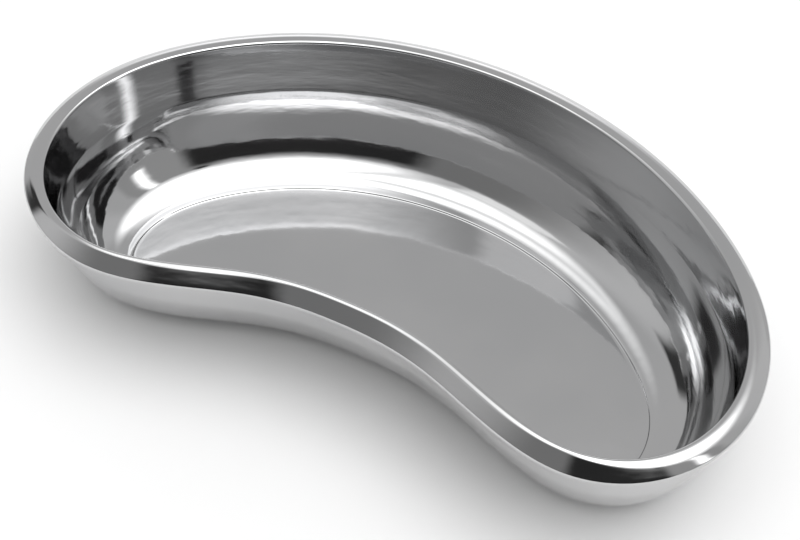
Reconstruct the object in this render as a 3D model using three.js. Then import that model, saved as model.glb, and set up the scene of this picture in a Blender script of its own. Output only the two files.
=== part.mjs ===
// Kidney dish, deep drawn from one sheet of stainless steel.
//
// Millimetres, +Z up. The origin is on the surface that the dish stands on, under the middle of
// its plan. +X runs along the dish's length and the concave side faces -Y.
//
// The dish is one sheet of constant thickness. Its section (floor, small step, curved wall, crest
// and turned-down lip) is swept around the kidney-shaped line of the crest.

import * as THREE from 'three';
import { mergeGeometries, mergeVertices } from 'three/addons/utils/BufferGeometryUtils.js';

// ---- driving dimensions ----

const HEIGHT = 50.8;
const SHEET = 0.8;

// Half of the crest's plan: control points of a closed cubic B-spline, from the middle of the
// convex back, round one end, to the middle of the concave front. The other half mirrors it.
const CREST_CONTROL = [
  [0, 67.8],
  [66.4, 52.6],
  [120.4, 6.6],
  [120.5, -47.2],
  [81.7, -72.4],
  [32.2, -48.1],
  [0, -46.1],
];

// Two values of a dimension are [round the back and ends, on the front].
const FLOOR_INSET = [23.8, 26]; // crest line to the edge of the floor panel
const FLOOR_STEP = 0.5; // the floor panel stands this far below the foot's curve
const STEP_WIDTH = 0.8;

// The wall's curve from the floor up: inside radius, and how far the wall still leans outward
// from the vertical where that radius ends. Above the last one the wall is straight.
const WALL_BENDS = [
  { radius: 16.4, leanAtEnd: THREE.MathUtils.degToRad(41.5), steps: 3 },
  { radius: 44, leanAtEnd: THREE.MathUtils.degToRad(12), steps: 3 },
];
const SHOULDER_RADIUS = 10; // a tighter bend between the curve and the straight wall
const CREST_RADIUS = 0.9; // outside of the bend from the wall up to the crest
const LIP_RADIUS = [9, 1.6]; // outside of the bend from the crest down the lip
const LIP_SLOPE = [33, 46].map(THREE.MathUtils.degToRad); // where the lip's bend ends
const LIP_WIDTH = [6.4, 5.2]; // crest line to the outer edge
const LIP_EDGE_RADIUS = 1.2; // outside of the bend at the lip's outer edge
const HEM = 0.5; // straight end of the turned-down edge

const STATIONS = 76; // sections around the crest line
const SHOULDER_STEPS = 1;
const CREST_STEPS = 2;
const LIP_STEPS = 3;
const EDGE_STEPS = 2;

// ---- plan of the crest ----

/** Closed cubic B-spline as a path of Bezier curves, one for each control point. */
function closedSpline(control) {
  const path = new THREE.CurvePath();
  const count = control.length;
  const third = (a, b) => a.clone().lerp(b, 1 / 3);
  for (let i = 0; i < count; i += 1) {
    const [before, from, to, after] = [-1, 0, 1, 2].map((k) => control[(i + k + count) % count]);
    const handleOut = third(from, to);
    const handleIn = third(to, from);
    const start = third(from, before).lerp(handleOut, 0.5);
    const end = third(to, after).lerp(handleIn, 0.5);
    path.add(new THREE.CubicBezierCurve(start, handleOut, handleIn, end));
  }
  return path;
}

/** Points spaced evenly along the crest line, each with its outward normal. */
function crestStations() {
  const half = CREST_CONTROL.map(([x, y]) => new THREE.Vector2(x, y));
  const mirrored = half.slice(1, -1).reverse().map((p) => new THREE.Vector2(-p.x, p.y));
  const path = closedSpline([...half, ...mirrored]);
  path.arcLengthDivisions = 4000;
  const stations = [];
  for (let i = 0; i < STATIONS; i += 1) {
    const u = i / STATIONS;
    const tangent = path.getTangentAt(u);
    stations.push({ point: path.getPointAt(u), normal: new THREE.Vector2(-tangent.y, tangent.x) });
  }
  return stations;
}

// ---- section of the sheet ----

/** The straight wall's lean, tangent to the shoulder (about centre) and to the crest's bend. */
function wallLean(centre) {
  const rise = HEIGHT - CREST_RADIUS - centre.y;
  const reach = Math.hypot(centre.x, rise);
  return Math.acos((CREST_RADIUS + SHOULDER_RADIUS) / reach) - Math.atan2(rise, -centre.x);
}

/**
 * The upper face of the sheet at one station, from the floor's edge to the end of the lip.
 * facesFront goes from 0 at the back and ends to 1 on the front. Each entry has the offset from
 * the crest line (outward), the height, and the face's tilt: the angle of its normal from
 * straight up, positive outward.
 */
function upperFace(facesFront) {
  const here = ([around, front]) => THREE.MathUtils.lerp(around, front, facesFront);
  const inset = here(FLOOR_INSET);
  const face = [{ out: -inset - STEP_WIDTH, up: SHEET, tilt: 0 }];
  const along = (tilt) => new THREE.Vector2(Math.sin(tilt), Math.cos(tilt));
  const place = (centre, radius, tilt) => {
    const point = centre.clone().addScaledVector(along(tilt), radius);
    face.push({ out: point.x, up: point.y, tilt });
    return point;
  };
  const bend = (centre, radius, from, to, steps) => {
    for (let i = 1; i <= steps; i += 1) {
      place(centre, radius, THREE.MathUtils.lerp(from, to, i / steps));
    }
  };

  let foot = new THREE.Vector2(-inset, SHEET + FLOOR_STEP);
  let tilt = 0;
  face.push({ out: foot.x, up: foot.y, tilt });
  for (const { radius, leanAtEnd, steps } of WALL_BENDS) {
    const centre = foot.addScaledVector(along(tilt), radius);
    const endTilt = leanAtEnd - Math.PI / 2;
    bend(centre, -radius, tilt, endTilt, steps);
    foot = centre.clone().addScaledVector(along(endTilt), -radius);
    tilt = endTilt;
  }
  const shoulder = foot.addScaledVector(along(tilt), SHOULDER_RADIUS);
  const wallTilt = wallLean(shoulder) - Math.PI / 2;
  bend(shoulder, -SHOULDER_RADIUS, tilt, wallTilt, SHOULDER_STEPS);

  const crest = new THREE.Vector2(0, HEIGHT - CREST_RADIUS);
  place(crest, CREST_RADIUS, wallTilt);
  bend(crest, CREST_RADIUS, wallTilt, 0, CREST_STEPS);
  const lipRadius = here(LIP_RADIUS);
  const slope = here(LIP_SLOPE);
  const lip = new THREE.Vector2(0, HEIGHT - lipRadius);
  bend(lip, lipRadius, 0, slope, LIP_STEPS);

  const lipWidth = here(LIP_WIDTH);
  const edgeOut = lipWidth - LIP_EDGE_RADIUS;
  const flangeOut = edgeOut - (lipRadius - LIP_EDGE_RADIUS) * Math.sin(slope);
  const edgeUp = lip.y + (lipRadius - LIP_EDGE_RADIUS) * Math.cos(slope) - flangeOut * Math.tan(slope);
  const edge = new THREE.Vector2(edgeOut, edgeUp);
  place(edge, LIP_EDGE_RADIUS, slope);
  bend(edge, LIP_EDGE_RADIUS, slope, Math.PI / 2, EDGE_STEPS);
  face.push({ out: lipWidth, up: edge.y - HEM, tilt: Math.PI / 2 });
  return face;
}

/** The closed band of the section: the upper face out to the lip's end and back underneath. */
function sectionBand(facesFront) {
  const face = upperFace(facesFront);
  const underside = face.map(({ out, up, tilt }) => ({
    out: out - SHEET * Math.sin(tilt),
    up: up - SHEET * Math.cos(tilt),
  }));
  return [...face, ...underside.reverse()];
}

// ---- the pressed sheet ----

/** The section swept around the stations, open at the floor's edge above and below. */
function sweptBand(bands) {
  const rows = bands[0].length;
  const positions = bands.flat(2);
  const indices = [];
  for (let i = 0; i < bands.length; i += 1) {
    const next = (i + 1) % bands.length;
    for (let k = 0; k + 1 < rows; k += 1) {
      const [a, b, c, d] = [i * rows + k, i * rows + k + 1, next * rows + k + 1, next * rows + k];
      indices.push(a, c, b, a, d, c);
    }
  }
  const geometry = new THREE.BufferGeometry();
  geometry.setAttribute('position', new THREE.Float32BufferAttribute(positions, 3));
  geometry.setIndex(indices);
  return geometry;
}

/** One flat face of the floor panel, facing up or down. */
function floorFace(edge, facesUp) {
  const outline = edge.map(([x, y]) => new THREE.Vector2(x, y));
  const indices = THREE.ShapeUtils.triangulateShape(outline, []).flatMap((triangle) => {
    const [a, b, c] = triangle.map((i) => outline[i]);
    const area = b.clone().sub(a).cross(c.clone().sub(a));
    return area > 0 === facesUp ? triangle : triangle.toReversed();
  });
  const geometry = new THREE.BufferGeometry();
  geometry.setAttribute('position', new THREE.Float32BufferAttribute(edge.flat(), 3));
  geometry.setIndex(indices);
  return geometry;
}

function pressedDish() {
  const bands = crestStations().map(({ point, normal }) => {
    const band = sectionBand(Math.max(0, -normal.y) ** 2);
    return band.map(({ out, up }) => [point.x + normal.x * out, point.y + normal.y * out, up]);
  });
  const parts = [
    sweptBand(bands),
    floorFace(bands.map((band) => band[0]), true),
    floorFace(bands.map((band) => band.at(-1)), false),
  ];
  return mergeVertices(mergeGeometries(parts), 1e-4);
}

const steel = new THREE.MeshStandardMaterial({ color: 0xb4b6b8, metalness: 1, roughness: 0.08 });
const dish = new THREE.Mesh(pressedDish(), steel);
dish.name = 'pressed_dish';

const group = new THREE.Group();
group.add(dish);

export default group;
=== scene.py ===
"""Kidney dish of mirror-polished stainless steel, on a pale floor under soft studio light."""
import math

import bpy
import numpy as np
from mathutils import Matrix, Vector


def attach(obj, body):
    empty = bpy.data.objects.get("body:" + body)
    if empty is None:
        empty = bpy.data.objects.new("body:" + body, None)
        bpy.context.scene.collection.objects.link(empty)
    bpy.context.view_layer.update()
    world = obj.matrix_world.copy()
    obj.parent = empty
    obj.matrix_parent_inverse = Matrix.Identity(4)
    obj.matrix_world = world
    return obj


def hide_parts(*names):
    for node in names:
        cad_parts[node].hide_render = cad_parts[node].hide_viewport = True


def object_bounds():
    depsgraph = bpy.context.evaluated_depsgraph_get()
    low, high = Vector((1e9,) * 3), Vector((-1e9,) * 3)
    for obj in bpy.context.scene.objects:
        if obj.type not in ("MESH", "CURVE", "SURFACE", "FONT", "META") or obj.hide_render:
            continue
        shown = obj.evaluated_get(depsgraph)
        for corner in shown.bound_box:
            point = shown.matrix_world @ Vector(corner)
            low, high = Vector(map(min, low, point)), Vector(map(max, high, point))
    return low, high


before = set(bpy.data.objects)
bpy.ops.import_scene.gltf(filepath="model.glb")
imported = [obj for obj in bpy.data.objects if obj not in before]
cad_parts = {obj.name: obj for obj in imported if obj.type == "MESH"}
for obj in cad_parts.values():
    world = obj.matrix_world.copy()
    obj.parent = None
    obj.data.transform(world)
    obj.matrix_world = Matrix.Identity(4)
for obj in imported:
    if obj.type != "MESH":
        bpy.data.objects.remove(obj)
cad_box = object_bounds()

MM = 0.001

# ---- the dish's dimensions, in millimetres ----

HEIGHT = cad_box[1].z / MM
SHEET = 0.8
CREST_CONTROL = [
    (0, 67.8),
    (66.4, 52.6),
    (120.4, 6.6),
    (120.5, -47.2),
    (81.7, -72.4),
    (32.2, -48.1),
    (0, -46.1),
]
# a pair holds the values round the back and ends, and on the front
FLOOR_INSET = (23.8, 26)
FLOOR_STEP = 0.5
STEP_WIDTH = 0.8
# the wall's curve from the floor up: inside radius, and lean from the vertical where it ends
WALL_BENDS = [(16.4, math.radians(41.5)), (44, math.radians(12))]
SHOULDER_RADIUS = 10
CREST_RADIUS = 0.9
LIP_RADIUS = (9, 1.6)
LIP_SLOPE = (math.radians(33), math.radians(46))
LIP_WIDTH = (6.4, 5.2)
LIP_EDGE_RADIUS = 1.2
HEM = 0.5
CUT_EDGE_DEPTH = 0.14  # how far the cut edge bulges below the hem
FLOOR_RING = 1  # flat ring just inside the floor's step

STATIONS = 384
STEP_STEPS = 4
WALL_STEPS = 14
SHOULDER_STEPS = 4
UPPER_WALL_STEPS = 6
CREST_STEPS = 9
LIP_STEPS = 12
FLANGE_STEPS = 4
LIP_EDGE_STEPS = 7
CUT_EDGE_STEPS = 6


# ---- shape ----

def closed_spline(control, count):
    """Points and unit tangents of a closed cubic B-spline, evenly spaced along its length."""
    control = np.array(control, float)
    n = len(control)

    def evaluate(u):
        i = np.floor(u).astype(int)
        f = (u - i)[:, None]
        p = [control[(i + k - 1) % n] for k in range(4)]
        basis = [(1 - f) ** 3, 3 * f**3 - 6 * f**2 + 4, -3 * f**3 + 3 * f**2 + 3 * f + 1, f**3]
        slope = [-3 * (1 - f) ** 2, 9 * f**2 - 12 * f, -9 * f**2 + 6 * f + 3, 3 * f**2]
        point = sum(b * q for b, q in zip(basis, p)) / 6
        tangent = sum(b * q for b, q in zip(slope, p)) / 6
        return point, tangent / np.linalg.norm(tangent, axis=1)[:, None]

    fine = np.linspace(0, n, 20 * count + 1)
    steps = np.linalg.norm(np.diff(evaluate(fine)[0], axis=0), axis=1)
    length = np.concatenate([[0], np.cumsum(steps)])
    even = np.arange(count) * length[-1] / count
    return evaluate(np.interp(even, length, fine) % n)


def crest_line(count):
    """The crest's plan, clockwise from the middle of the back: points and outward normals."""
    mirrored = [(-x, y) for x, y in CREST_CONTROL[-2:0:-1]]
    points, tangents = closed_spline(CREST_CONTROL + mirrored, count)
    return points, np.stack([-tangents[:, 1], tangents[:, 0]], axis=1)


def upper_face(front):
    """The sheet's upper face at one station: rows of offset from the crest, height and tilt."""
    inset, lip_radius, slope, width = [
        a + (b - a) * front for a, b in (FLOOR_INSET, LIP_RADIUS, LIP_SLOPE, LIP_WIDTH)
    ]
    floor_edge = -inset - STEP_WIDTH
    rows = [(floor_edge - FLOOR_RING, SHEET, 0), (floor_edge, SHEET, 0)]

    def bend(centre, radius, start, end, steps):
        for tilt in np.linspace(start, end, steps + 1)[1:]:
            out = centre[0] + radius * math.sin(tilt)
            rows.append((out, centre[1] + radius * math.cos(tilt), tilt))

    def straight(out, up, tilt, steps):
        last = rows[-1]
        for s in np.linspace(0, 1, steps + 1)[1:]:
            rows.append((last[0] + (out - last[0]) * s, last[1] + (up - last[1]) * s, tilt))

    def centre_above(radius):
        out, up, tilt = rows[-1]
        return out + radius * math.sin(tilt), up + radius * math.cos(tilt)

    # the floor's step: two small bends of opposite sense
    step_tilt = -2 * math.atan2(FLOOR_STEP, STEP_WIDTH)
    step_radius = STEP_WIDTH / 2 / -math.sin(step_tilt)
    foot_up = SHEET + FLOOR_STEP
    bend((floor_edge, SHEET + step_radius), -step_radius, 0, step_tilt, STEP_STEPS)
    bend((-inset, foot_up - step_radius), step_radius, step_tilt, 0, STEP_STEPS)

    # the wall
    for radius, lean in WALL_BENDS:
        bend(centre_above(radius), -radius, rows[-1][2], lean - math.pi / 2, WALL_STEPS)
    shoulder = centre_above(SHOULDER_RADIUS)
    crest_up = HEIGHT - CREST_RADIUS
    rise = crest_up - shoulder[1]
    reach = math.hypot(shoulder[0], rise)
    lean = math.acos((CREST_RADIUS + SHOULDER_RADIUS) / reach) - math.atan2(rise, -shoulder[0])
    tilt = lean - math.pi / 2
    bend(shoulder, -SHOULDER_RADIUS, rows[-1][2], tilt, SHOULDER_STEPS)
    wall_top = crest_up + CREST_RADIUS * math.cos(tilt)
    straight(CREST_RADIUS * math.sin(tilt), wall_top, tilt, UPPER_WALL_STEPS)
    bend((0, crest_up), CREST_RADIUS, tilt, 0, CREST_STEPS)

    # the lip
    lip_up = HEIGHT - lip_radius
    bend((0, lip_up), lip_radius, 0, slope, LIP_STEPS)
    tighter = lip_radius - LIP_EDGE_RADIUS
    edge_out = width - LIP_EDGE_RADIUS
    flange_out = edge_out - tighter * math.sin(slope)
    edge_up = lip_up + tighter * math.cos(slope) - flange_out * math.tan(slope)
    flange_end = edge_up + LIP_EDGE_RADIUS * math.cos(slope)
    straight(edge_out + LIP_EDGE_RADIUS * math.sin(slope), flange_end, slope, FLANGE_STEPS)
    bend((edge_out, edge_up), LIP_EDGE_RADIUS, slope, math.pi / 2, LIP_EDGE_STEPS)
    rows.append((width, edge_up - HEM, math.pi / 2))
    return np.array(rows)


def section_band(front):
    """The upper face out to the lip's end, the rounded cut edge, and the underside back."""
    face = upper_face(front)
    normal = np.stack([np.sin(face[:, 2]), np.cos(face[:, 2])], axis=1)
    under = face[:, :2] - SHEET * normal
    end = (face[-1, :2] + under[-1]) / 2
    turn = np.linspace(0, math.pi, CUT_EDGE_STEPS + 1)[1:-1]
    edge = end + np.stack([SHEET / 2 * np.cos(turn), -CUT_EDGE_DEPTH * np.sin(turn)], axis=1)
    return np.concatenate([face[:, :2], edge, under[::-1]])


def add_object(name, vertices, faces, material):
    mesh = bpy.data.meshes.new(name)
    mesh.from_pydata(vertices, [], faces)
    mesh.materials.append(material)
    obj = bpy.data.objects.new(name, mesh)
    bpy.context.scene.collection.objects.link(obj)
    return obj


def build_dish(material):
    points, normals = crest_line(STATIONS)
    rings = []
    for point, normal in zip(points, normals):
        band = section_band(max(0, -normal[1]) ** 2)
        rings.append(np.column_stack([point + band[:, :1] * normal, band[:, 1]]))
    rings = np.array(rings) * MM
    rows = rings.shape[1]
    faces = []
    for i in range(STATIONS):
        j = (i + 1) % STATIONS
        for k in range(rows - 1):
            faces.append((i * rows + k, j * rows + k, j * rows + k + 1, i * rows + k + 1))
    floor_top = [i * rows for i in range(STATIONS)]
    floor_under = [i * rows + rows - 1 for i in range(STATIONS)]
    faces += [tuple(reversed(floor_top)), tuple(floor_under)]
    dish = add_object("dish_sheet", rings.reshape(-1, 3).tolist(), faces, material)
    dish.data.shade_smooth()
    return dish


# ---- camera ----

CAMERA_TARGET = Vector((-1.85, -5.8, 20.0)) * MM
CAMERA_AZIMUTH = math.radians(25.12)
CAMERA_ELEVATION = math.radians(51.57)
CAMERA_ROLL = math.radians(2.34)
CAMERA_DISTANCE = 598.3 * MM
CAMERA_LENS = 81.1


def make_camera():
    a, e = CAMERA_AZIMUTH, CAMERA_ELEVATION
    back = Vector((math.sin(a) * math.cos(e), -math.cos(a) * math.cos(e), math.sin(e)))
    level = back.to_track_quat("Z", "Y").to_matrix()
    data = bpy.data.cameras.new("camera")
    data.lens = CAMERA_LENS
    camera = bpy.data.objects.new("camera", data)
    bpy.context.scene.collection.objects.link(camera)
    turn = (level @ Matrix.Rotation(CAMERA_ROLL, 3, "Z")).to_4x4()
    camera.matrix_world = Matrix.Translation(CAMERA_TARGET + back * CAMERA_DISTANCE) @ turn
    bpy.context.scene.camera = camera


# ---- nodes ----

class Nodes:
    """Adds nodes to a tree; an input is a number, a vector or another node's output."""

    def __init__(self, tree):
        self.tree = tree

    def add(self, kind, inputs=None, **settings):
        node = self.tree.nodes.new(kind)
        for name, value in settings.items():
            setattr(node, name, value)
        for key, value in (inputs or {}).items():
            if isinstance(value, bpy.types.NodeSocket):
                self.tree.links.new(value, node.inputs[key])
            else:
                node.inputs[key].default_value = value
        return node

    def math(self, operation, *values):
        return self.add("ShaderNodeMath", dict(enumerate(values)), operation=operation).outputs[0]

    def dot(self, a, b):
        return self.add("ShaderNodeVectorMath", {0: a, 1: b}, operation="DOT_PRODUCT").outputs["Value"]

    def mix(self, factor, a, b):
        return self.add("ShaderNodeMix", {0: factor, 2: a, 3: b}).outputs[0]

    def ramp(self, value, start, end, low=0.0, high=1.0):
        inputs = {0: value, 1: start, 2: end, 3: low, 4: high}
        return self.add("ShaderNodeMapRange", inputs, interpolation_type="SMOOTHSTEP").outputs[0]

    def noise(self, vector, scale, detail=2.0, roughness=0.5):
        inputs = {"Vector": vector, "Scale": scale, "Detail": detail, "Roughness": roughness}
        return self.add("ShaderNodeTexNoise", inputs).outputs["Fac"]


# ---- studio light ----

ROOM = 0.58  # brightness of the plain part of the room
BACKDROP = 0.93  # what the camera sees behind the floor
# Soft patches of the room, each over the ones before it: brightness, from and to azimuth
# (degrees from +Y towards +X), from and to elevation, and how soft its edges are in each.
PATCHES = [
    (0.72, -181, -105, 11, 67, 12, 1),
    (0.25, -194, -139, -15, 48, 20, 3),
    (1.25, -158, -128, 50, 60, 3, 1.5),
    (0.69, 23, 57, 10, 73, 8, 1),
    (1.78, -44, -6, -28, 14, 11, 7),
    (2.6, -163, 127, 65, 140, 10, 9),
    (4, 18, 181, 55, 140, 20, 13),
    (0.42, 76, 128, 3, 45, 3, 1),
    (0.03, 118, 183, -19, 40, 4, 5),
    (0.04, 118, 124, 42, 46, 1.5, 1),
    (3, 89, 95, 16, 46, 4, 2),
    (0.05, -106, -86, 10, 30, 4, 3),
    (1.1, -87, -57, 64, 83, 20, 2),
]
FLOOR_HALF = 4.0  # metres
FLOOR_GREY = (0.795, 0.805)
FILL = 0.25  # soft light from straight above, on the floor only
FILL_SPREAD = math.radians(120)


def band(nodes, value, start, end, soft):
    """1 between start and end, falling to 0 within soft of each edge."""
    middle = (start + end) / 2
    half = (end - start) / 2
    distance = nodes.math("ABSOLUTE", nodes.math("SUBTRACT", value, middle))
    return nodes.ramp(distance, half + soft, half - soft)


def make_world():
    world = bpy.data.worlds.new("studio")
    world.use_nodes = True
    tree = world.node_tree
    tree.nodes.clear()
    nodes = Nodes(tree)
    direction = nodes.add("ShaderNodeTexCoord").outputs["Generated"]
    split = nodes.add("ShaderNodeSeparateXYZ", {0: direction})
    elevation = nodes.math("DEGREES", nodes.math("ARCSINE", split.outputs[2]))
    flat = nodes.add("ShaderNodeCombineXYZ", {0: split.outputs[0], 1: split.outputs[1]})
    flat = flat.outputs[0]
    level = nodes.add("ShaderNodeVectorMath", {0: flat}, operation="NORMALIZE").outputs["Vector"]
    light = ROOM
    for value, az0, az1, el0, el1, soft_az, soft_el in PATCHES:
        factor = band(nodes, elevation, el0, el1, soft_el)
        middle = math.radians((az0 + az1) / 2)
        towards = nodes.dot(level, (math.sin(middle), math.cos(middle), 0))
        away = nodes.math("DEGREES", nodes.math("ARCCOSINE", towards))
        half = (az1 - az0) / 2
        across = nodes.ramp(away, half + soft_az, half - soft_az)
        factor = nodes.math("MULTIPLY", factor, across)
        light = nodes.mix(factor, light, value)
    seen = nodes.add("ShaderNodeLightPath").outputs["Is Camera Ray"]
    light = nodes.mix(seen, light, BACKDROP)
    background = nodes.add("ShaderNodeBackground", {"Color": (1, 1, 1, 1), "Strength": light})
    nodes.add("ShaderNodeOutputWorld", {0: background.outputs[0]})
    bpy.context.scene.world = world


def new_material(name):
    material = bpy.data.materials.new(name)
    material.use_nodes = True
    tree = material.node_tree
    return material, Nodes(tree), tree.nodes["Principled BSDF"]


def pale_floor():
    material, nodes, shader = new_material("pale_floor")
    place = nodes.add("ShaderNodeTexCoord").outputs["Object"]
    shade = nodes.ramp(nodes.noise(place, 9.0, 3.0), 0.3, 0.7, *FLOOR_GREY)
    nodes.tree.links.new(shade, shader.inputs["Base Color"])
    shader.inputs["Roughness"].default_value = 1.0
    shader.inputs["Specular IOR Level"].default_value = 0.0
    return material


def make_stage():
    h = FLOOR_HALF
    corners = [(-h, -h, 0), (h, -h, 0), (h, h, 0), (-h, h, 0)]
    add_object("floor", corners, [(0, 1, 2, 3)], pale_floor())
    sun = bpy.data.lights.new("fill", "SUN")
    sun.energy = FILL
    sun.angle = FILL_SPREAD
    fill = bpy.data.objects.new("fill", sun)
    fill.visible_glossy = False
    bpy.context.scene.collection.objects.link(fill)


# ---- polished steel ----

DARK_STEEL = (0.545, 0.548, 0.553, 1)
LIGHT_STEEL = (0.580, 0.580, 0.583, 1)
GLOSS = (0.045, 0.07)  # roughness where the polish is best and worst
GRAIN_ROUGHNESS = 0.03  # added in the polishing grain
# heights in millimetres
GRAIN_HEIGHT = 0.0006
RIPPLE_HEIGHT = 0.03
DRAWN_HEIGHT = 0.08  # ripples that run around the wall
# features in a metre, across and up
GRAIN_SCALE = (60, 60, 1200)
DRAWN_SCALE = (40, 40, 160)


def polished_steel():
    material, nodes, shader = new_material("polished_steel")
    place = nodes.add("ShaderNodeTexCoord").outputs["Object"]

    def stretched(scale, detail, roughness):
        vector = nodes.add("ShaderNodeMapping", {"Vector": place, "Scale": scale}).outputs[0]
        return nodes.noise(vector, 1.0, detail, roughness)

    cloud = nodes.noise(place, 14.0, 3.0)
    grain = stretched(GRAIN_SCALE, 4.0, 0.6)
    ripple = nodes.noise(place, 45.0, 2.0, 0.4)
    drawn = stretched(DRAWN_SCALE, 3.0, 0.55)

    tint_inputs = {0: nodes.ramp(cloud, 0.35, 0.65), 6: DARK_STEEL, 7: LIGHT_STEEL}
    tint = nodes.add("ShaderNodeMix", tint_inputs, data_type="RGBA").outputs[2]
    gloss = nodes.ramp(cloud, 0.3, 0.7, *GLOSS)
    rough = nodes.math("ADD", gloss, nodes.ramp(grain, 0.3, 0.8, 0.0, GRAIN_ROUGHNESS))
    height = nodes.math("MULTIPLY", ripple, RIPPLE_HEIGHT)
    for wave, size in [(grain, GRAIN_HEIGHT), (drawn, DRAWN_HEIGHT)]:
        height = nodes.math("ADD", height, nodes.math("MULTIPLY", wave, size))
    bump = nodes.add("ShaderNodeBump", {"Height": height, "Distance": MM})

    links = nodes.tree.links
    links.new(tint, shader.inputs["Base Color"])
    links.new(rough, shader.inputs["Roughness"])
    links.new(bump.outputs["Normal"], shader.inputs["Normal"])
    shader.inputs["Metallic"].default_value = 1.0
    return material


make_world()
make_stage()
make_camera()
dish = build_dish(polished_steel())
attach(dish, "root")
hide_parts("pressed_dish")
bpy.context.scene.view_settings.view_transform = "Standard"
